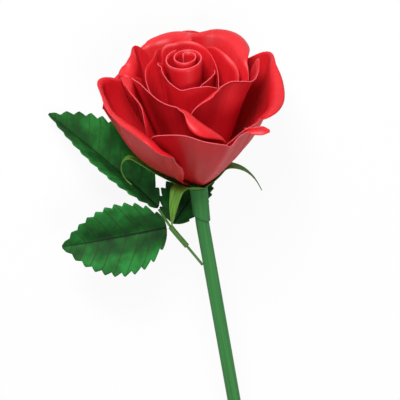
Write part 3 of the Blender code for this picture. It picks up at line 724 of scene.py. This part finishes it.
def leafletPlace(foot, tip, halfWidth, teeth, turn, fold, droop, broad, fullness):
    sizes = leaflet
    foot, tip = Vector(foot), Vector(tip)
    length = (tip - foot).length
    along = (tip - foot).normalized()
    facing = Vector(sizes["facing"])
    normal = (facing - facing.dot(along) * along).normalized()
    normal = Matrix.Rotation(math.radians(turn), 3, along) @ normal
    side = along.cross(normal).normalized()
    foldAngle = math.radians(fold)

    def halfAt(up):
        # each tooth rises slowly to its peak and drops back fast
        step = up * teeth
        tooth = min(int(step), teeth - 1)
        within = step - tooth
        peak = sizes["toothPeak"]
        share = min(step / teeth, 1.0)
        width = max(halfWidth * leafletOutline(share, broad, fullness), sizes["footHalfWidth"])
        if 0 < tooth or within > peak:
            low = min(sizes["toothDepth"], sizes["toothShare"] * width)
            rise = within / peak if within < peak else 1 - (within - peak) / (1 - peak)
            if tooth < teeth - 1 or within < peak:
                width -= low * (1 - rise)
        return share, width

    def place(across, up):
        share, width = halfAt(up)
        s = 2 * across - 1
        # the rim is swept towards the tip
        swept = sizes["sweep"] * length * abs(s) ** sizes["sweepPower"]
        reach = length * share + swept * math.sin(math.pi * share) * sizes["sweepShare"]
        lift = abs(s) * width * math.sin(foldAngle)
        sag = droop * share ** 2 + sizes["sag"] * width * s * s
        out = side * (s * width * math.cos(foldAngle))
        return foot + along * reach + out + normal * (lift - sag)

    def flat(across, up):
        share, width = halfAt(up)
        return (2 * across - 1) * width, share * length, halfWidth * sizes["paperLayer"]

    return place, flat


def makeLeaflets():
    for name, (node, form) in leaflets.items():
        place, flat = leafletPlace(**form)
        makeSheet(name, node, 2 * leaflet["columns"], form["teeth"] * leaflet["rowsPerTooth"],
                  place, leaflet["paper"], [leafPaper], flat)


makeLeaflets()
print("leaf made")

# camera: the photograph looks 30 degrees down on the upright bloom from its front, a little
# rolled, so over the lying flower it stands high at the bloom's end
view = dict(elevation=30.0, roll=6.2, mmPerPixel=0.486, axisPixel=(198.0, 183.0), distance=1600.0,
            picture=400.0, sensor=36.0)


def makeCamera():
    elevation, roll = math.radians(view["elevation"]), math.radians(view["roll"])
    back = Vector((0, -math.cos(elevation), math.sin(elevation)))
    right = Vector((1, 0, 0))
    up = back.cross(right)
    cameraX = right * math.cos(roll) - up * math.sin(roll)
    cameraY = right * math.sin(roll) + up * math.cos(roll)
    middle = view["picture"] / 2
    aim = (cameraX * (middle - view["axisPixel"][0]) + cameraY * (view["axisPixel"][1] - middle))
    aim *= view["mmPerPixel"]
    turned = Matrix((cameraX, cameraY, back)).transposed().to_4x4()
    lens = bpy.data.cameras.new("camera")
    lens.sensor_width = view["sensor"]
    lens.lens = view["sensor"] * view["distance"] / (view["picture"] * view["mmPerPixel"])
    camera = bpy.data.objects.new("camera", lens)
    bpy.context.scene.collection.objects.link(camera)
    stand = Matrix.Translation((aim + back * view["distance"]) * millimetre)
    camera.matrix_world = bloom @ stand @ turned
    bpy.context.scene.camera = camera


makeCamera()

# floor and light: a matt white table that the camera sees nearly at full white, a wide soft lamp
# from beyond the bloom, a weaker one from the stem's side and a pale room, all in metres
studio = dict(floorSize=6.0, floor="E6E6E6", floorRoughness=0.8, glow=0.92, room=0.28,
              aim=(0.0, 0.09, 0.04),
              lamps=[dict(name="key", place=(-0.2, 1.05, 0.8), size=0.4, power=17.5),
                     dict(name="fill", place=(0.3, -0.3, 1.2), size=0.7, power=6.0)])


def makeStudio():
    surface = bmesh.new()
    bmesh.ops.create_grid(surface, x_segments=1, y_segments=1, size=studio["floorSize"] / 2)
    mesh = bpy.data.meshes.new("floor")
    surface.to_mesh(mesh)
    surface.free()
    floor = bpy.data.objects.new("floor", mesh)
    bpy.context.scene.collection.objects.link(floor)
    material, tree, shader = paperMaterial("whiteTable", studio["floorRoughness"])
    shader.inputs["Base Color"].default_value = toLinear(studio["floor"])
    path = addNode(tree, "ShaderNodeLightPath")
    glow = addNode(tree, "ShaderNodeEmission", {"Color": (1, 1, 1, 1), "Strength": 1.0})
    share = addNode(tree, "ShaderNodeMath", {"operation": "MULTIPLY", 1: studio["glow"]},
                    i0=path.outputs["Is Camera Ray"])
    both = addNode(tree, "ShaderNodeMixShader", Fac=share.outputs[0])
    tree.links.new(shader.outputs[0], both.inputs[1])
    tree.links.new(glow.outputs[0], both.inputs[2])
    output = tree.nodes["Material Output"]
    tree.links.new(both.outputs[0], output.inputs["Surface"])
    mesh.materials.append(material)
    world = bpy.data.worlds.new("room")
    world.use_nodes = True
    world.node_tree.nodes["Background"].inputs["Color"].default_value = (1, 1, 1, 1)
    world.node_tree.nodes["Background"].inputs["Strength"].default_value = studio["room"]
    bpy.context.scene.world = world
    aim = Vector(studio["aim"])
    for lamp in studio["lamps"]:
        light = bpy.data.lights.new(lamp["name"], "AREA")
        light.energy = lamp["power"]
        light.size = lamp["size"]
        holder = bpy.data.objects.new(lamp["name"], light)
        bpy.context.scene.collection.objects.link(holder)
        holder.location = lamp["place"]
        holder.rotation_euler = (aim - Vector(lamp["place"])).to_track_quat("-Z", "Y").to_euler()


makeStudio()
bpy.context.scene.view_settings.view_transform = "Standard"
print("camera and studio made")
